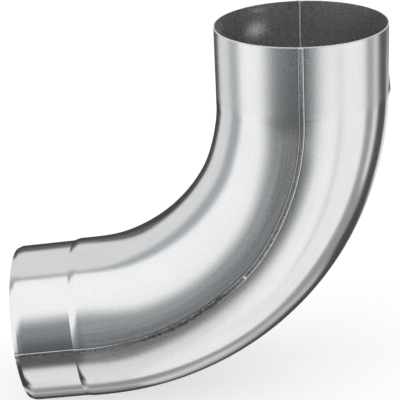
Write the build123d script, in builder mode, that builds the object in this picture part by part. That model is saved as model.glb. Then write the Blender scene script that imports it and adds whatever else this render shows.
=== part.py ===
from build123d import *
from math import cos, degrees, radians, sin
import os

os.makedirs("parts", exist_ok=True)

# Downspout elbow: two pressed sheet halves, joined by a folded seam along each side.
# Millimetres. The socket's axis is Z, and its mouth is up. The spigot leaves towards -X,
# and the heel of the bend faces +X. The origin is on the socket's axis, at the ledge
# where the end of the pipe above comes to rest.

# Sheet thickness and the inside radius of each stretch
sheet = 0.55
socket_r = 50.0
body_r = 49.0
spigot_r = 48.0
end_r = 47.5

# Lengths along the centre line, from the mouth of the socket to the end of the spigot
socket_depth = 42.0
ledge_length = 1.8
bend_radius = 142.0
bend_angle = 85.0
after_bend = 5.1
neck_length = 4.7
spigot_straight = 31.5
lead_in_length = 4.5

# Folded seam. The throat's edge is a hem turned back on its own wall. The heel's edge is
# a cap that goes over the hem and down behind it.
hem_width = 1.9
cap_corner = 0.42
inner_corner = 0.35

# Boss pressed outwards in the heel, across the ledge. Seen from the side it has a rounded
# crest, from which it slopes up to the socket's wall and down to the body's.
boss_height = 1.2
boss_crest_z = 2.8
boss_above = 9.4
boss_below = 9.6
boss_round = 24.0
crest_round = 6.0
boss_margin = 0.6

# The seam keeps the same angles on every stretch, so its faces run on without a break
hem_angle = degrees(hem_width / body_r)
cap_angle = degrees((hem_width + sheet) / body_r)
lip_angle = degrees(sheet / body_r)
round_angle = degrees(cap_corner / body_r)
inner_angle = degrees(inner_corner / body_r)


def at(radius, angle):
    """Point of a section, in polar terms. Angle 0 is the heel and 90 is the far seam."""
    return (radius * cos(radians(angle)), radius * sin(radians(angle)))


def station(turn, run=0.0):
    """Plane across the bend at an angle of turn, moved on along the outgoing straight."""
    across = Vector(cos(radians(turn)), 0, -sin(radians(turn)))
    back = Vector(sin(radians(turn)), 0, cos(radians(turn)))
    centre = Vector(-bend_radius, 0, -ledge_length) + across * bend_radius - back * run
    return Plane(origin=centre, x_dir=across, z_dir=back)


def passage_section(radius):
    """Full circle that fills the way through."""
    with BuildSketch() as section:
        Circle(radius)
    return section.sketch


def heel_section(radius):
    """Half ring on the heel's side, with a cap at each seam."""
    outside = radius + sheet
    hem_top = radius + 2 * sheet
    cap_top = radius + 3 * sheet
    with BuildSketch() as section:
        with BuildLine():
            ThreePointArc(at(radius, inner_angle - 90), at(radius, 0), at(radius, 90 - inner_angle))
            for side in (1, -1):
                edge = 90 * side
                hem_end = edge + side * hem_angle
                cap_end = edge + side * cap_angle
                lip = edge - side * lip_angle
                Polyline(
                    at(radius, edge - side * inner_angle),
                    # Up against the hem, over it and down behind it
                    at(radius + inner_corner, edge),
                    at(hem_top, edge),
                    at(hem_top, hem_end),
                    at(outside, hem_end),
                )
                # Along the throat's wall
                ThreePointArc(at(outside, hem_end), at(outside, (hem_end + cap_end) / 2), at(outside, cap_end))
                Polyline(
                    # Up the far side and back over the top
                    at(outside, cap_end),
                    at(cap_top - cap_corner, cap_end),
                    at(cap_top, cap_end - side * round_angle),
                    at(cap_top, lip + side * round_angle),
                    # Down to the heel's own wall
                    at(cap_top - cap_corner, lip),
                    at(outside, lip),
                )
            ThreePointArc(at(outside, lip_angle - 90), at(outside, 0), at(outside, 90 - lip_angle))
        make_face()
    return section.sketch


def throat_section(radius):
    """Half ring on the throat's side, with a hem at each seam."""
    outside = radius + sheet
    hem_top = radius + 2 * sheet
    with BuildSketch() as section:
        with BuildLine():
            ThreePointArc(at(radius, 90 + inner_angle), at(radius, 180), at(radius, 270 - inner_angle))
            for side in (1, -1):
                edge = 90 * side
                hem_end = edge + side * hem_angle
                Polyline(
                    at(radius, edge + side * inner_angle),
                    at(radius + inner_corner, edge),
                    at(hem_top, edge),
                    at(hem_top, hem_end),
                    at(outside, hem_end),
                )
            ThreePointArc(at(outside, 90 + hem_angle), at(outside, 180), at(outside, 270 - hem_angle))
        make_face()
    return section.sketch


def carried(section):
    """A section carried from the mouth of the socket to the end of the spigot."""
    neck_end = after_bend + neck_length
    spigot_end = neck_end + spigot_straight
    with BuildPart() as run:
        with BuildSketch(Plane.XY):
            add(section(socket_r))
        extrude(amount=socket_depth)
        # Ledge: the cone that narrows the socket to the body
        with BuildSketch(Plane.XY):
            add(section(socket_r))
        with BuildSketch(station(0)):
            add(section(body_r))
        loft(ruled=True)
        # Bend
        with BuildSketch(station(0)):
            add(section(body_r))
        centre = Axis((-bend_radius, 0, -ledge_length), (0, 1, 0))
        revolve(axis=centre, revolution_arc=bend_angle)
        # Short straight after the bend
        with BuildSketch(station(bend_angle, after_bend)):
            add(section(body_r))
        extrude(amount=after_bend)
        # Neck: the cone that narrows the body to the spigot
        with BuildSketch(station(bend_angle, after_bend)):
            add(section(body_r))
        with BuildSketch(station(bend_angle, neck_end)):
            add(section(spigot_r))
        loft(ruled=True)
        # Spigot, and the lead-in at its end
        with BuildSketch(station(bend_angle, spigot_end)):
            add(section(spigot_r))
        extrude(amount=spigot_straight)
        with BuildSketch(station(bend_angle, spigot_end)):
            add(section(spigot_r))
        with BuildSketch(station(bend_angle, spigot_end + lead_in_length)):
            add(section(end_r))
        loft(ruled=True)
    return run.part


# Side view of the boss: where its slopes meet the socket's wall and the body's wall
wall_x = socket_r + sheet
crest_x = wall_x + boss_height
foot_z = boss_crest_z - boss_below
heel_r = bend_radius + body_r + sheet
foot_x = (heel_r**2 - (foot_z + ledge_length) ** 2) ** 0.5 - bend_radius
slope_above = (crest_x - wall_x) / boss_above
slope_below = (crest_x - foot_x) / boss_below
boss_axis_x = crest_x - boss_round


def boss_outline(inset):
    """Side view of the boss, from its own axis of turning out to the surface."""
    above = boss_above + boss_margin
    below = boss_below + boss_margin
    with BuildSketch() as outline:
        with BuildLine():
            Polyline(
                (boss_axis_x, boss_crest_z + above),
                (crest_x - inset - slope_above * above, boss_crest_z + above),
                (crest_x - inset, boss_crest_z),
                (crest_x - inset - slope_below * below, boss_crest_z - below),
                (boss_axis_x, boss_crest_z - below),
                close=True,
            )
        make_face()
        fillet(outline.vertices().sort_by(Axis.X)[-1], crest_round)
    return outline.sketch


boss_axis = Axis((boss_axis_x, 0, 0), (0, 0, 1))
passage = carried(passage_section)

with BuildPart() as boss:
    with BuildSketch(Plane.XZ):
        add(boss_outline(0))
    revolve(axis=boss_axis)
    add(passage, mode=Mode.SUBTRACT)

with BuildPart() as boss_hollow:
    with BuildSketch(Plane.XZ):
        add(boss_outline(sheet))
    revolve(axis=boss_axis)

heel_half = carried(heel_section)

with BuildPart() as heel_shell:
    add(heel_half)
    add(boss.part)
    add(boss_hollow.part, mode=Mode.SUBTRACT)

throat_half = carried(throat_section)

with BuildPart() as throat_shell:
    add(throat_half)

heel_shell.part.label = "heel_shell"
throat_shell.part.label = "throat_shell"
export_step(heel_shell.part, "parts/heel_shell.step")
export_step(throat_shell.part, "parts/throat_shell.step")
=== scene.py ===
"""Looks of the downspout elbow: skins over the two shells, zinc finish, light tent and camera."""

import math

import bpy
import numpy as np
from mathutils import Matrix, Vector


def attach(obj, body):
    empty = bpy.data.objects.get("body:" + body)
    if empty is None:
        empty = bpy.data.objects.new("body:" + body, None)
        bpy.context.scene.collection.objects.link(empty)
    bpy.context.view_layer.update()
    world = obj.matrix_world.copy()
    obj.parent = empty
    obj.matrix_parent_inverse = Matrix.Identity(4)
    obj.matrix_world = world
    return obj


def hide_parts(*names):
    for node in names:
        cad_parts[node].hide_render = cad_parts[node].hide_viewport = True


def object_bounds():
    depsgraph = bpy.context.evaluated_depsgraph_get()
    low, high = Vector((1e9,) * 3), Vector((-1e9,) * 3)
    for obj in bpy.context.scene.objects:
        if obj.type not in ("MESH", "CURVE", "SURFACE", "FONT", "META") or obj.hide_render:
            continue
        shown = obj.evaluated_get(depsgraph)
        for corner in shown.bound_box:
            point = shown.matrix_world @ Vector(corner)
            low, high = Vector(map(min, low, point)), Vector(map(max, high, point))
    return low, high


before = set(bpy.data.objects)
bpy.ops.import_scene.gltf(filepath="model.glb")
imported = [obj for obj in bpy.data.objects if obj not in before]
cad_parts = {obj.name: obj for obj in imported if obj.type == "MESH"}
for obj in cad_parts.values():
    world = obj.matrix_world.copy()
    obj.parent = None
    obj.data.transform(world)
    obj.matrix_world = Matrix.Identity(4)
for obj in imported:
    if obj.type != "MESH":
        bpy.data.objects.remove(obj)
cad_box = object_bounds()

MM = 0.001

# Sheet and path, the same sizes as the solids
sheet = 0.55 * MM
socket_r = 50.0 * MM
spigot_r = 48.0 * MM
socket_depth = 42.0 * MM
ledge_length = 1.8 * MM
bend_radius = 142.0 * MM
bend_angle = math.radians(85)
after_bend = 5.1 * MM
neck_length = 4.7 * MM

# The spigot with its lead-in is as long as the solid's, and a crease parts the two
spigot_straight = 33.0 * MM
spigot_taper = 0.15 * MM
lead_in_length = 3.0 * MM
lead_in_drop = 1.1 * MM
lead_in_straight_share = 0.8

# The pressed body is widest under the ledge and draws in round the bend. At the neck it is
# a little larger at the throat than at the heel
body_start_r = 49.95 * MM
body_end_r = 48.75 * MM
body_end_rise = 0.35 * MM
draw_in_angle = math.radians(20)
neck_curve = 1.8

# The ledge is highest beside the seams. It comes up from the heel, and falls lower at the throat.
# The throat's half starts where the cosine of the angle round the pipe falls below the last value
ledge_rise_at_seam = 4.5 * MM
ledge_fall_at_throat = 6.5 * MM
heel_rise_at_seam = 2.5 * MM
ledge_step_length = 5.0 * MM
throat_half_cosine = -0.03

# Folded seam. Its widths are measured on a wall of ridge_r, and the wall under it is taken
# from just beside it
hem_width = 1.9 * MM
cap_corner = 0.42 * MM
inner_corner = 0.12 * MM
ridge_r = socket_r - 0.8 * MM
seam_angle = math.pi / 2
beside_seam = 0.05
seam_middle = hem_width / 2

# Where the seam strays from the split, towards the heel: half-way round, and near the spigot.
# Places and lengths along the bend are in degrees
stray_middle = 0.9 * MM
stray_middle_at = 38
stray_middle_length = 10
stray_end = -0.6 * MM
stray_end_from = 60
stray_end_rise = 22

# The throat is drawn in a little along the middle of the bend. Where that starts and ends, and how
# long it takes to come and go, are in degrees of the bend
throat_draw = 0.95 * MM
draw_from = 12
draw_rise = 18
draw_to = 85
draw_fall = 15

# The sheet dips beside the seams, from just inside the bend to just before the neck
dip_depth = 0.5 * MM
dip_width = 5.5 * MM
dip_from = 8 * MM
dip_rise = 20 * MM
dip_to = 4 * MM
dip_fall = 16 * MM

# Small burr on the near seam, and the size of the painted highlight on it
burr_run = 146.5 * MM
burr_height = 0.35 * MM
burr_length = 0.8 * MM
burr_size = (1.5 * MM, 1.0 * MM, 1.0)

# Painted highlights inside the socket, as lighter patches: their places and sizes across and along the
# sheet
highlight_place = (107.0 * MM, 15.0 * MM, 0.0)
highlight_size = (13.0 * MM, 9.0 * MM, 1.0)
small_highlight_place = (105.0 * MM, 3.5 * MM, 0.0)
small_highlight_size = (9.0 * MM, 2.5 * MM, 1.0)

# Boss pressed out across the ledge, on the heel. Below its crest it falls further, to the body.
# It is only looked for near the heel line and its crest, which the last two values limit
boss_height = 1.1 * MM
boss_crest_z = 1.6 * MM
boss_above = 9.4 * MM
boss_below = 9.6 * MM
boss_fall_to_body = 0.8 * MM
boss_round = 24.0 * MM
boss_crest_softness = 0.5 * MM
boss_near_cosine = 0.9
boss_near_share = 1.3

bend_start = socket_depth + ledge_length
bend_end = bend_start + bend_radius * bend_angle
neck_start = bend_end + after_bend
neck_end = neck_start + neck_length
spigot_end = neck_end + spigot_straight
run_end = spigot_end + lead_in_length
half_round = math.pi * socket_r

# Points of the skins: across the sheet, and along the path in stretches of their own spacing
columns = 161
ledge_zone_start = socket_depth - 15 * MM
ledge_zone_end = bend_start + 12 * MM
neck_zone_start = neck_start - 1.5 * MM
neck_zone_end = neck_end + 1.5 * MM
sharp_edge = math.radians(32)


def smooth(x):
    """Rises softly from 0 to 1 as x goes from 0 to 1."""
    x = np.clip(x, 0, 1)
    return x * x * (3 - 2 * x)


def path(s):
    """Centre and turn of the path at a run s from the mouth."""
    turn = np.clip((s - bend_start) / bend_radius, 0, bend_angle)
    straight = np.minimum(s, bend_start)
    after = np.maximum(s - bend_end, 0)
    x = bend_radius * (np.cos(turn) - 1) - after * np.sin(turn)
    z = socket_depth - straight - bend_radius * np.sin(turn) - after * np.cos(turn)
    return x, z, turn


def ledge_place(angle):
    """Run at which the middle of the ledge lies, at an angle round the pipe."""
    on_throat = ledge_rise_at_seam + (ledge_rise_at_seam + ledge_fall_at_throat) * np.cos(angle)
    on_heel = heel_rise_at_seam * (1 - np.cos(angle))
    rise = np.where(np.cos(angle) < throat_half_cosine, on_throat, on_heel)
    return socket_depth + ledge_length / 2 - rise


def seam_dip(s, angle):
    """How far the sheet dips beside the nearest seam."""
    from_heel = np.abs(angle - np.where(angle > math.pi, 2 * math.pi, 0))
    from_seam = np.abs(from_heel - seam_angle) * socket_r
    comes = smooth((s - bend_start - dip_from) / dip_rise)
    goes = smooth((neck_start - dip_to - s) / dip_fall)
    return dip_depth * np.exp(-from_seam / dip_width) * (comes * goes)


def throat_draw_in(turn, angle):
    """How far the throat is drawn in."""
    degrees = np.degrees(turn)
    mid_bend = smooth((degrees - draw_from) / draw_rise) * smooth((draw_to - degrees) / draw_fall)
    return throat_draw * mid_bend * np.clip(-np.cos(angle), 0, 1)


def inner_radius(s, angle):
    """Inside radius of the sheet at a run s and an angle round the pipe, 0 at the heel."""
    turn = path(s)[2]
    end_r = body_end_r - body_end_rise * np.cos(angle)
    body = end_r + (body_start_r - end_r) * np.exp(-turn / draw_in_angle)
    step = smooth((s - ledge_place(angle)) / ledge_step_length + 0.5)
    r = socket_r + (body - socket_r) * step
    r = r - seam_dip(s, angle)
    r = r - throat_draw_in(turn, angle)
    # Neck
    fall = np.clip((s - neck_start) / neck_length, 0, 1) ** neck_curve
    r = r + (spigot_r - r) * fall
    r = r - spigot_taper * np.clip((s - neck_end) / spigot_straight, 0, 1)
    # Lead-in
    lead = np.clip((s - spigot_end) / lead_in_length, 0, 1)
    return r - lead_in_drop * (lead_in_straight_share * lead + (1 - lead_in_straight_share) * lead**2)


def seam_stray(s):
    """How far the seams stray towards the heel at a run s."""
    turn = np.degrees(path(s)[2])
    in_middle = stray_middle * np.exp(-(((turn - stray_middle_at) / stray_middle_length) ** 2))
    return in_middle + stray_end * smooth((turn - stray_end_from) / stray_end_rise)


def boss_lift(s, angle, radius):
    """How far the boss lifts the sheet beyond its plain radius."""
    x, z, turn = path(s)
    surface_z = z - radius * np.cos(angle) * np.sin(turn)
    away = np.sqrt((surface_z - boss_crest_z) ** 2 + boss_crest_softness**2) - boss_crest_softness
    crest = socket_r + sheet + boss_height
    slope_above = boss_height / boss_above
    slope_below = (boss_height + boss_fall_to_body) / boss_below
    slope = np.where(surface_z > boss_crest_z, slope_above, slope_below)
    axis_x = crest - boss_round
    reach = crest - slope * away - axis_x
    side = np.maximum(reach**2 - (axis_x * np.sin(angle)) ** 2, 0)
    top = axis_x * np.cos(angle) + np.sqrt(side) - x
    near_crest = np.abs(surface_z - boss_crest_z) < boss_near_share * boss_below
    near = (np.cos(angle) > boss_near_cosine) & near_crest
    return np.where(near, np.maximum(top - radius, 0), 0)


def rounded_corner(w, h, dw, dh, size, steps=4):
    """Points of a rounded corner at (w, h), entered along (dw, 0) and left along (0, dh)."""
    turns = np.linspace(0, math.pi / 2, steps + 1)
    return [(w + dw * size * (1 - math.sin(t)), h + dh * size * (1 - math.cos(t))) for t in turns]


def cap_ridge():
    """Heel's edge at a seam, as (width towards the throat, height above the inside)."""
    top = 3 * sheet
    far = hem_width + sheet
    up = rounded_corner(-sheet, top, 1, -1, cap_corner)[::-1]
    down = rounded_corner(far, top, -1, -1, cap_corner)
    under = [(far, sheet), (hem_width, sheet), (hem_width, 2 * sheet), (0, 2 * sheet)]
    return [(-sheet, sheet)] + up + down + under + [(0, inner_corner), (-inner_corner, 0)]


def hem_ridge():
    """Throat's edge at a seam, in the same terms."""
    fold = [(hem_width, sheet), (hem_width, 2 * sheet), (0, 2 * sheet)]
    return fold + [(0, inner_corner), (inner_corner, 0)]


def stations():
    """Runs along the path, close together where the shape changes fast."""
    stretches = [
        (0, ledge_zone_start, 10),
        (ledge_zone_start, ledge_zone_end, 60),
        (ledge_zone_end, neck_zone_start, 84),
        (neck_zone_start, neck_zone_end, 30),
        (neck_zone_end, spigot_end, 9),
    ]
    runs = [np.linspace(start, end, count, endpoint=False) for start, end, count in stretches]
    runs.append(np.linspace(burr_run - 2 * burr_length, burr_run + 2 * burr_length, 11))
    runs.append(np.linspace(spigot_end, run_end, 10))
    return np.unique(np.round(np.concatenate(runs), 7))


def section(ridge, heel):
    """Points round a shell: angles, heights above the inside, angles of the wall that they
    stand on, and which of the strips between them are on the inside."""
    near_seam = -seam_angle if heel else 3 * seam_angle
    first = ridge[0][0] / ridge_r
    last = ridge[-1][0] / ridge_r
    outer = np.linspace(near_seam - first, seam_angle + first, columns)
    inner = np.linspace(seam_angle + last, near_seam - last, columns)
    fold = ridge[1:-1]
    far_angles = [seam_angle + w / ridge_r for w, h in fold]
    near_angles = [near_seam - w / ridge_r for w, h in fold[::-1]]
    far_heights = [h for w, h in fold]
    angle = np.concatenate([outer, far_angles, inner, near_angles])
    height = np.concatenate([np.full(columns, sheet), far_heights, np.zeros(columns), far_heights[::-1]])
    under_fold = np.full(len(fold), seam_angle - beside_seam)
    wall_angle = np.concatenate([outer, under_fold, inner, under_fold])
    strip = np.arange(len(angle))
    first_inner = columns + len(fold)
    inner_strips = (strip >= first_inner) & (strip < first_inner + columns - 1)
    return angle, height, wall_angle, inner_strips


def swept_points(angle, height, wall_angle, heel):
    """Points of a shell, by station along the path and round the section."""
    s = stations()[:, None]
    r = inner_radius(s, wall_angle[None, :])
    if heel:
        r = r + boss_lift(s, angle[None, :], r + sheet)
        on_cap = (angle < -seam_angle) & (height > 2 * sheet)
        r = r + burr_height * on_cap[None, :] * np.exp(-(((s - burr_run) / burr_length) ** 2))
    r = r + height[None, :]
    side = np.clip((angle if heel else math.pi - angle) / seam_angle, -1, 1)[None, :]
    place = angle[None, :] - side * seam_stray(s) / r
    x, z, turn = path(s)
    across = r * np.cos(place)
    return np.stack([x + across * np.cos(turn), r * np.sin(place), z - across * np.sin(turn)], axis=-1)


def closed_mesh(name, points):
    """Mesh of a swept section, with a flat face over each end."""
    rows, count = points.shape[:2]
    row_start = np.arange(rows - 1)[:, None] * count
    a = row_start + np.arange(count)[None, :]
    b = row_start + (np.arange(count)[None, :] + 1) % count
    quads = np.stack([a, b, b + count, a + count], axis=-1).reshape(-1, 4)
    ends = [list(range(count))[::-1], list(range((rows - 1) * count, rows * count))]
    mesh = bpy.data.meshes.new(name)
    mesh.from_pydata(points.reshape(-1, 3).tolist(), [], quads.tolist() + ends)
    return mesh


def lay_flat(mesh, angle):
    """Gives the mesh the coordinates of the flat sheet: across the grain, and along the pipe."""
    s = stations()
    across = np.tile(angle * socket_r, len(s))
    along = s.repeat(len(angle))
    vertex = np.zeros(len(mesh.loops), dtype=np.int32)
    mesh.loops.foreach_get("vertex_index", vertex)
    uv = mesh.uv_layers.new(name="sheet")
    uv.data.foreach_set("uv", np.stack([across[vertex], along[vertex]], axis=-1).reshape(-1))


def skin(name, node, ridge, heel):
    """Closed skin of one shell, swept along the path."""
    angle, height, wall_angle, inner_strips = section(ridge, heel)
    points = swept_points(angle, height, wall_angle, heel)
    mesh = closed_mesh(name, points)
    lay_flat(mesh, angle)
    mesh.materials.append(outside)
    mesh.materials.append(inside)
    slots = np.concatenate([np.tile(inner_strips, len(points) - 1), [False, False]])
    mesh.polygons.foreach_set("material_index", slots.astype(np.int32))
    mesh.shade_smooth()
    mesh.set_sharp_from_angle(angle=sharp_edge)
    piece = bpy.data.objects.new(name, mesh)
    bpy.context.scene.collection.objects.link(piece)
    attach(piece, "root")
    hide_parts(node)
    return piece


class Nodes:
    """Node tree of a material or a world, with short calls for the nodes that are used here."""

    def __init__(self, owner):
        owner.use_nodes = True
        self.tree = owner.node_tree
        self.tree.nodes.clear()

    def add(self, kind, inputs=None, **props):
        """Adds a node, sets its properties, and fills its inputs with numbers or links."""
        node = self.tree.nodes.new(kind)
        for key, value in props.items():
            setattr(node, key, value)
        for key, value in (inputs or {}).items():
            if isinstance(value, bpy.types.NodeSocket):
                self.tree.links.new(value, node.inputs[key])
            else:
                node.inputs[key].default_value = value
        return node

    def calc(self, operation, *values):
        return self.add("ShaderNodeMath", dict(enumerate(values)), operation=operation).outputs[0]

    def plus(self, first, second):
        return self.calc("ADD", first, second)

    def minus(self, first, second):
        return self.calc("SUBTRACT", first, second)

    def both(self, first, second):
        return self.calc("MULTIPLY", first, second)

    def most(self, first, second):
        return self.calc("MAXIMUM", first, second)

    def size(self, value):
        return self.calc("ABSOLUTE", value)

    def between(self, value, low, high, at_low, at_high):
        """Goes from one level to another as the value goes from low to high."""
        inputs = {"Value": value, "From Min": low, "From Max": high, "To Min": at_low, "To Max": at_high}
        return self.add("ShaderNodeMapRange", inputs).outputs[0]

    def noise(self, vector, scale, stretch=None):
        if stretch:
            inputs = {0: vector, 1: stretch}
            vector = self.add("ShaderNodeVectorMath", inputs, operation="MULTIPLY").outputs[0]
        inputs = {"Vector": vector, "Scale": scale, "Detail": noise_detail}
        return self.add("ShaderNodeTexNoise", inputs).outputs[0]

    def matt(self, colour):
        return self.add("ShaderNodeBsdfDiffuse", {"Color": (*colour, 1)}).outputs[0]

    def mix(self, share, below, above):
        return self.add("ShaderNodeMixShader", {0: share, 1: below, 2: above}).outputs[0]


# Scales of the noises, per metre, and how much the ones along the pipe are drawn out
noise_detail = 3.0
grain_scale = 2200.0
grain_stretch = (1.0, 0.06, 1.0)
streak_scale = 500.0
streak_stretch = (1.0, 0.03, 1.0)
mottle_scale = 1000.0
cloud_scale = 45.0
speckle_scale = 1400.0
patch_scale = 500.0
uneven_scale = 600.0
fleck_scale = 900.0
soft_fleck_scale = 1100.0

# Values of a noise that are taken as its low and high end
full_swing = (0.35, 0.65)
streak_swing = (0.38, 0.62)
shade_swing = (0.36, 0.64)
speck_swing = (0.42, 0.58)
patch_swing = (0.4, 0.6)

# How much each noise lifts the surface, and by how much the sum of them does
grain_lift = 0.6
mottle_lift = 0.3
streak_lift = 1.2
relief_height = 0.04 * MM

# Share of the fine mottling in the shade of the zinc. The rest is a broad clouding
mottle_share = 0.65

# Levels of the looks. A pair holds the levels at the low and high end of what the look follows
outside_rough = (0.12, 0.16)
inside_rough = (0.25, 0.29)
dull_rough = 0.6
socket_rougher = 0.08
plain_dulling = 0.04
plain_streaks = (0.7, 1.3)
bend_dulling = 0.30
bend_streaks = (0.88, 1.12)
bend_flecks = (0.8, 1.2)
socket_dulling = (0.14, 0.05)
socket_flecks = (0.4, 1.6)
ridge_dulling = 0.22
wear = (0.25, 0.7)
# Painted shade on the ridge's sloping sides: its levels towards the throat down the bend, what is left of
# it at the neck, and its levels towards the heel
throat_side_shade = (0.35, 0.95)
throat_side_shade_left = 0.1
heel_side_shade = (0.1, 0.9)
patchiness = (0.55, 1.0)
# Strength of the painted shade at the ridge's foot
foot_painted_shade = 0.7
# Painted highlights: on the cut edge of the mouth, and on the burr with its spread
cut_bright = 0.85
burr_bright = 0.9
burr_spread = 2.5
# Strengths of the two painted highlights inside the socket
inside_highlight = 1.0
small_inside_highlight = 0.6
gap_dark = 0.6
line_bright = 0.9

# Colours of the finish
zinc_dark = (0.77, 0.78, 0.79)
zinc_light = (0.83, 0.835, 0.84)
zinc_dull = (0.93, 0.94, 0.95)
# Dark of the worn specks on the ridge, of the painted shade at its foot and sides, and of the darkening
# over it
wear_and_painted_shade = (0.07, 0.07, 0.07)
# Colour of the painted highlight on the mouth's cut edge and on the burr
painted_edge_highlight = (0.92, 0.92, 0.92)
# Colour of the painted highlights inside the socket
inside_highlight_colour = (0.95, 0.95, 0.92)
sheet_edge = (0.85, 0.85, 0.85)
sheet_gap = (0.03, 0.03, 0.03)

# Half-widths of the ridge: of its flat top, and of the whole. Then how soft their edges are
# drawn, and the width of the painted shade at the foot beside them
ridge_top = 1.0 * MM
ridge_side = 1.5 * MM
ridge_soft = 0.1 * MM
foot_width = 0.9 * MM

# Darkening that lies across the ridge, a little towards the throat, with an uneven edge
darkening_shift = 0.3 * MM
darkening_full = 1.2 * MM
darkening_none = 1.5 * MM
darkening_uneven = 0.25 * MM

# Stretches of the run over which a look comes in or goes out
wear_comes = (8 * MM, 40 * MM)
ridge_dulling_goes = (8 * MM, 45 * MM)
# Painted shade on the ridge's sloping sides comes in and goes out over these
throat_side_shade_comes = (110 * MM, 190 * MM)
throat_side_shade_goes = (235 * MM, 252 * MM)
heel_side_shade_comes = (120 * MM, 175 * MM)
darkening_comes = (145 * MM, 165 * MM)
darkening_goes = (215 * MM, 245 * MM)
socket_dulling_goes = (5 * MM, 42 * MM)
bend_look_comes = (bend_start - 4 * MM, bend_start + 12 * MM)
bend_look_goes = (neck_start - 4 * MM, neck_end)
socket_rough_goes = (bend_start - 3 * MM, bend_start)
cut_edge_goes = (0.3 * MM, 0.8 * MM)

# Distances from the seam over which a look goes out
bend_dulling_fades = (12 * MM, 36 * MM)
socket_dulling_fades = (8 * MM, 24 * MM)
inside_gap_fades = (0.8 * MM, 1.2 * MM)
inside_line_fades = (0.4 * MM, 0.6 * MM)


class Finish(Nodes):
    """Nodes of a finish of the sheet, with the places and noises that it is made from."""

    def __init__(self, name, seam_line):
        self.material = bpy.data.materials.new(name)
        super().__init__(self.material)
        self.flat = self.add("ShaderNodeUVMap", uv_map="sheet").outputs[0]
        self.place = self.add("ShaderNodeTexCoord").outputs["Object"]
        across, self.run = self.add("ShaderNodeSeparateXYZ", {0: self.flat}).outputs[:2]
        # Distance from the middle of the nearest seam: towards the throat, and either way
        from_heel = self.minus(half_round, self.size(self.minus(half_round, self.size(across))))
        self.to_throat = self.minus(from_heel, seam_line)
        self.seam = self.size(self.to_throat)
        self.streak = self.noise(self.flat, streak_scale, streak_stretch)
        self.mottle = self.noise(self.place, mottle_scale)

    def speckle(self, scale, swing, levels):
        """Goes from one level to another with a noise of its own."""
        return self.between(self.noise(self.place, scale), *swing, *levels)

    def oval(self, middle, size, strength):
        """Fades from its middle out to an oval of the given half-sizes."""
        away = self.add("ShaderNodeVectorMath", {0: self.flat, 1: middle}, operation="SUBTRACT").outputs[0]
        away = self.add("ShaderNodeVectorMath", {0: away, 1: size}, operation="DIVIDE").outputs[0]
        away = self.add("ShaderNodeVectorMath", {0: away}, operation="LENGTH").outputs["Value"]
        return self.between(away, 0.0, 1.0, strength, 0.0)

    def zinc(self, rough, haze, relief_share):
        """Bright rolled zinc: a fine grain along the pipe and a faint mottling, under a dull haze."""
        cloud = self.noise(self.place, cloud_scale)
        shade = self.plus(self.both(self.mottle, mottle_share), self.both(cloud, 1 - mottle_share))
        colour = self.add("ShaderNodeValToRGB", {"Fac": shade})
        dark_end, light_end = colour.color_ramp.elements
        dark_end.position = shade_swing[0]
        light_end.position = shade_swing[1]
        dark_end.color = (*zinc_dark, 1)
        light_end.color = (*zinc_light, 1)
        grain = self.noise(self.flat, grain_scale, grain_stretch)
        relief = self.plus(self.both(grain, grain_lift), self.both(self.mottle, mottle_lift))
        relief = self.plus(relief, self.both(self.streak, streak_lift))
        bump = self.add(
            "ShaderNodeBump", {"Strength": relief_share, "Distance": relief_height, "Height": relief}
        ).outputs[0]
        bright = self.add(
            "ShaderNodeBsdfPrincipled",
            {"Base Color": colour.outputs[0], "Metallic": 1.0, "Roughness": rough, "Normal": bump},
        ).outputs[0]
        dull = self.add(
            "ShaderNodeBsdfPrincipled",
            {"Base Color": (*zinc_dull, 1), "Metallic": 1.0, "Roughness": dull_rough},
        ).outputs[0]
        return self.mix(haze, bright, dull)

    def done(self, surface):
        self.add("ShaderNodeOutputMaterial", {"Surface": surface})
        return self.material


def on_ridge_top(nodes):
    """Full on the flat top of the seam's ridge."""
    return nodes.between(nodes.seam, ridge_top - ridge_soft, ridge_top + ridge_soft, 1.0, 0.0)


def dulling(nodes):
    """Share of dull zinc on the outside. The socket is faintly speckled with it. The bend has
    more of it beside its seams, with streaks along it."""
    bend = nodes.both(
        nodes.between(nodes.run, *bend_look_comes, 0.0, 1.0),
        nodes.between(nodes.run, *bend_look_goes, 1.0, 0.0),
    )
    flecks = nodes.speckle(soft_fleck_scale, full_swing, bend_flecks)
    streaky = nodes.both(nodes.between(nodes.streak, *streak_swing, *bend_streaks), flecks)
    on_bend = nodes.both(bend, nodes.between(nodes.seam, *bend_dulling_fades, bend_dulling, 0.0))
    on_bend = nodes.both(on_bend, streaky)
    flecks = nodes.speckle(fleck_scale, full_swing, socket_flecks)
    in_socket = nodes.both(nodes.between(nodes.run, *socket_dulling_goes, *socket_dulling), flecks)
    near_seam = nodes.between(nodes.seam, *socket_dulling_fades, 1.0, 0.0)
    in_socket = nodes.both(in_socket, nodes.both(near_seam, nodes.minus(1.0, bend)))
    along_ridge = nodes.between(nodes.run, *ridge_dulling_goes, ridge_dulling, 0.0)
    on_ridge = nodes.both(on_ridge_top(nodes), along_ridge)
    all_over = nodes.both(nodes.between(nodes.streak, *streak_swing, *plain_streaks), plain_dulling)
    return nodes.plus(nodes.plus(all_over, on_ridge), nodes.plus(on_bend, in_socket))


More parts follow.
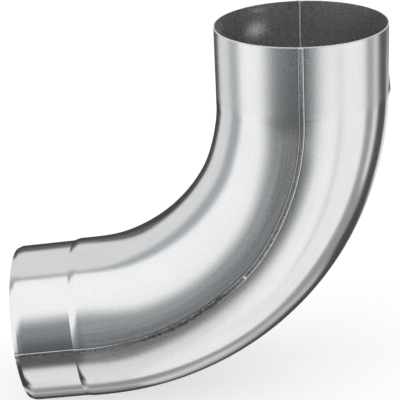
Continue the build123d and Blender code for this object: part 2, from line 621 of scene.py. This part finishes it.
def painted_side_shade(nodes, patch):
    """Painted shade on the ridge's sloping sides: on the one towards the throat down the bend, and on the
    one towards the heel from the middle of the bend on to the end of the spigot."""
    outside_top = nodes.between(nodes.seam, ridge_top - ridge_soft, ridge_top + ridge_soft, 0.0, 1.0)
    inside_side = nodes.between(nodes.seam, ridge_side - ridge_soft, ridge_side + ridge_soft, 1.0, 0.0)
    throat_side = nodes.between(nodes.to_throat, -ridge_soft, ridge_soft, 0.0, 1.0)
    heel_side = nodes.minus(1.0, throat_side)
    down_bend = nodes.both(
        nodes.between(nodes.run, *throat_side_shade_comes, *throat_side_shade),
        nodes.between(nodes.run, *throat_side_shade_goes, 1.0, throat_side_shade_left),
    )
    lower_end = nodes.between(nodes.run, *heel_side_shade_comes, *heel_side_shade)
    sides = nodes.plus(nodes.both(throat_side, down_bend), nodes.both(heel_side, lower_end))
    return nodes.both(nodes.both(nodes.both(outside_top, inside_side), sides), patch)


def ridge_darkening(nodes, patch):
    """Darkening over the whole ridge down the bend, past the burr, with an uneven edge."""
    uneven = nodes.speckle(uneven_scale, full_swing, (-darkening_uneven, darkening_uneven))
    away = nodes.size(nodes.minus(nodes.to_throat, darkening_shift))
    ridge = nodes.both(nodes.between(nodes.plus(away, uneven), darkening_full, darkening_none, 1.0, 0.0), patch)
    past_burr = nodes.both(
        nodes.between(nodes.run, *darkening_comes, 0.0, 1.0), nodes.between(nodes.run, *darkening_goes, 1.0, 0.0)
    )
    return nodes.both(ridge, past_burr)


def darkening(nodes):
    """Share of the dark colour on the outside: worn specks on the ridge, painted shade at its foot and
    on its sides, and a darkening over the ridge down the bend.
    """
    specks = nodes.speckle(speckle_scale, speck_swing, (0.0, 1.0))
    worn = nodes.both(nodes.both(on_ridge_top(nodes), specks), nodes.between(nodes.run, *wear_comes, *wear))
    # Painted shade at the ridge's foot
    foot = nodes.both(
        nodes.between(nodes.seam, ridge_side - ridge_soft, ridge_side, 0.0, 1.0),
        nodes.between(nodes.seam, ridge_side, ridge_side + foot_width, 1.0, 0.0),
    )
    patch = nodes.speckle(patch_scale, patch_swing, patchiness)
    dark = nodes.most(worn, nodes.most(ridge_darkening(nodes, patch), nodes.both(foot, foot_painted_shade)))
    return nodes.most(dark, painted_side_shade(nodes, patch))


def outside_zinc():
    """Finish of the outside. The cut edge of the mouth and the burr on the near seam get a painted
    highlight.
    """
    nodes = Finish("zinc_outside", half_round / 2 + seam_middle)
    rougher = nodes.between(nodes.run, *socket_rough_goes, socket_rougher, 0.0)
    rough = nodes.plus(nodes.between(nodes.mottle, *full_swing, *outside_rough), rougher)
    surface = nodes.zinc(rough, haze=dulling(nodes), relief_share=0.25)
    surface = nodes.mix(darkening(nodes), surface, nodes.matt(wear_and_painted_shade))
    # Painted highlight on the mouth's cut edge and on the burr
    at_cut = nodes.between(nodes.run, *cut_edge_goes, cut_bright, 0.0)
    burr_middle = (-half_round / 2 - seam_middle, burr_run, 0.0)
    on_burr = nodes.calc("MINIMUM", nodes.oval(burr_middle, burr_size, burr_spread), burr_bright)
    return nodes.done(nodes.mix(nodes.most(at_cut, on_burr), surface, nodes.matt(painted_edge_highlight)))


def inside_zinc():
    """Finish of the inside: duller, with painted highlights as lighter patches in two places. The edge
    of the sheet shows in the seam as a matt light line between two dark ones."""
    nodes = Finish("zinc_inside", half_round / 2)
    rough = nodes.between(nodes.mottle, *full_swing, *inside_rough)
    surface = nodes.zinc(rough, haze=0.03, relief_share=0.08)
    # Painted highlights inside the socket, as two lighter patches
    large = nodes.oval(highlight_place, highlight_size, inside_highlight)
    small = nodes.oval(small_highlight_place, small_highlight_size, small_inside_highlight)
    painted_highlights = nodes.most(large, small)
    surface = nodes.mix(nodes.both(painted_highlights, painted_highlights), surface, nodes.matt(inside_highlight_colour))
    in_gap = nodes.between(nodes.seam, *inside_gap_fades, gap_dark, 0.0)
    surface = nodes.mix(in_gap, surface, nodes.matt(sheet_gap))
    on_line = nodes.between(nodes.seam, *inside_line_fades, line_bright, 0.0)
    return nodes.done(nodes.mix(on_line, surface, nodes.matt(sheet_edge)))


# Light tent, painted by direction. Azimuth 0 is towards the camera and 90 towards the heel
tent_level = 0.9
dark_room = (0.25, 0.265, 0.27)
dark_middle = (0.09, 0.10, 0.11)
dark_gap = (0.045, 0.05, 0.056)
grey_wall = (0.43, 0.445, 0.455)
warm_table = (0.93, 0.93, 0.90)

# Cards of the tent: left, right, low and high edge and softness in degrees, level or colour, and
# how far the card leans to the right for each degree of height. A later one covers those before it
tent_cards = [
    # Behind and beyond the spigot
    (-200, -111, -90, 90, 6, 0.80),
    (-111, -78, -90, 90, 6, grey_wall),
    (-200, -144, -60, 13, 5, dark_gap, -0.15),
    (-200, -146, 10, 23, 5, 0.10),
    (-200, -150, -70, -58, 5, 0.28),
    # White walls on both sides of the camera, and over it
    (-91, -20, -40, 90, 6, 1.07),
    (-60, 30, 26, 90, 8, 1.09),
    (12, 90, -80, 90, 4, 1.02, -0.12),
    (18, 44, -75, -22, 6, 1.12),
    (47, 54, -50, 20, 3, 0.82),
    # Behind and beyond the heel
    (90, 200, -80, 90, 4, 0.35, -0.12),
    (108, 118, -34, 90, 3, 0.84),
    (121, 149, -34, 90, 4, 0.08),
    (124, 149, -48, -34, 4, 0.08),
    (148, 200, -29, -16, 3, 0.85),
    (149, 200, -16, 16, 3, 0.05),
    (126, 200, -51, -29, 4, 0.07),
    (137, 200, -80, -59, 8, 0.74),
    (124, 145, -64, -46, 4, 0.55),
    # Dark room round the camera
    (-35, 33, -44, 42, 13, dark_room, 0.75),
    (-8, 24, -43, 32, 12, dark_middle, 0.9),
    (-36, -2, -46, -20, 5, 0.10),
    # Table under the object, and the dark beyond it to the left
    (-400, 400, -120, -73, 8, 0.30),
    (-115, -70, -120, -72, 15, 0.55),
    (-75, 98, -120, -58, 8, warm_table),
    (12, 106, -120, -62, 8, 1.05),
    (-116, -38, -76, -34, 5, 0.05),
    # White strip straight behind, on both sides of the turn from 180 to -180
    (173, 400, 16, 60, 3, 1.0),
    (-400, -169, 18, 60, 3, 1.0),
]


def tent():
    """White surround with darker gaps, and plain white where the camera looks past the object."""
    world = bpy.data.worlds.new("tent")
    bpy.context.scene.world = world
    nodes = Nodes(world)
    direction = nodes.add("ShaderNodeTexCoord").outputs["Generated"]
    x, y, z = nodes.add("ShaderNodeSeparateXYZ", {0: direction}).outputs
    azimuth = nodes.calc("DEGREES", nodes.calc("ARCTAN2", x, nodes.both(y, -1.0)))
    elevation = nodes.calc("DEGREES", nodes.calc("ARCSINE", z))

    def rise(value, start, soft):
        inputs = {"Value": value, "From Min": start - soft, "From Max": start + soft}
        return nodes.add("ShaderNodeMapRange", inputs, interpolation_type="SMOOTHSTEP").outputs[0]

    def card(below, left, right, low, high, soft, level, lean=0.0):
        """Covers what is below it, from left to right and from low to high, in degrees."""
        across = nodes.minus(azimuth, nodes.both(elevation, lean)) if lean else azimuth
        width = nodes.both(rise(across, left, soft), nodes.minus(1.0, rise(across, right, soft)))
        height = nodes.both(rise(elevation, low, soft), nodes.minus(1.0, rise(elevation, high, soft)))
        colour = level if isinstance(level, tuple) else (level, level, level)
        inputs = {0: nodes.both(width, height), 6: below, 7: (*colour, 1)}
        return nodes.add("ShaderNodeMix", inputs, data_type="RGBA").outputs[2]

    over = (tent_level, tent_level, tent_level, 1)
    for values in tent_cards:
        over = card(over, *values)
    rays = nodes.add("ShaderNodeLightPath").outputs
    past = nodes.most(rays["Is Camera Ray"], rays["Is Transmission Ray"])
    seen = nodes.add("ShaderNodeMix", {0: past, 6: over, 7: (1, 1, 1, 1)}, data_type="RGBA").outputs[2]
    light = nodes.add("ShaderNodeBackground", {"Color": seen, "Strength": 1.0}).outputs[0]
    nodes.add("ShaderNodeOutputWorld", {"Surface": light})


# Floor, and how much of its white towards the camera doesn't depend on the light
floor_half = 4.0
floor_colour = (0.85, 0.85, 0.85)
floor_lift = 0.45


def floor():
    """Pale floor under the lowest point, white to the camera apart from the object's shadow."""
    low = cad_box[0].z
    corners = [(x * floor_half, y * floor_half, low) for x, y in ((-1, -1), (1, -1), (1, 1), (-1, 1))]
    mesh = bpy.data.meshes.new("floor")
    mesh.from_pydata(corners, [], [(0, 1, 2, 3)])
    plane = bpy.data.objects.new("floor", mesh)
    bpy.context.scene.collection.objects.link(plane)
    material = bpy.data.materials.new("pale_floor")
    nodes = Nodes(material)
    rays = nodes.add("ShaderNodeLightPath").outputs
    seen = nodes.most(rays["Is Camera Ray"], rays["Is Transmission Ray"])
    inputs = {"Color": (1, 1, 1, 1), "Strength": nodes.both(seen, floor_lift)}
    lift = nodes.add("ShaderNodeEmission", inputs).outputs[0]
    lifted = nodes.add("ShaderNodeAddShader", {0: nodes.matt(floor_colour), 1: lift}).outputs[0]
    nodes.add("ShaderNodeOutputMaterial", {"Surface": lifted})
    mesh.materials.append(material)
    plane.visible_glossy = False
    return plane


# Camera, at the photograph's viewing angle
camera_azimuth = math.radians(3.59)
camera_elevation = math.radians(21.86)
camera_roll = math.radians(-2.59)
camera_distance = 926.0 * MM
camera_lens = 137.69
camera_sensor = 36.0
aim = Vector((-62.8, 0.0, -66.64)) * MM


def camera():
    """Camera that looks at the aim from its distance, and is rolled a little."""
    level = math.cos(camera_elevation)
    away = Vector(
        (math.sin(camera_azimuth) * level, -math.cos(camera_azimuth) * level, math.sin(camera_elevation))
    )
    right = (-away).cross(Vector((0, 0, 1))).normalized()
    up = right.cross(-away)
    turned_right = right * math.cos(camera_roll) + up * math.sin(camera_roll)
    turned_up = up * math.cos(camera_roll) - right * math.sin(camera_roll)
    data = bpy.data.cameras.new("camera")
    data.lens = camera_lens
    data.sensor_width = camera_sensor
    data.clip_start = 10 * MM
    view = bpy.data.objects.new("camera", data)
    turn = Matrix((turned_right, turned_up, away)).transposed()
    view.matrix_world = Matrix.Translation(aim + away * camera_distance) @ turn.to_4x4()
    bpy.context.scene.collection.objects.link(view)
    bpy.context.scene.camera = view


outside = outside_zinc()
inside = inside_zinc()
skin("heel_skin", "heel_shell", cap_ridge(), True)
skin("throat_skin", "throat_shell", hem_ridge(), False)

tent()
floor()
camera()
bpy.context.scene.view_settings.view_transform = "Standard"
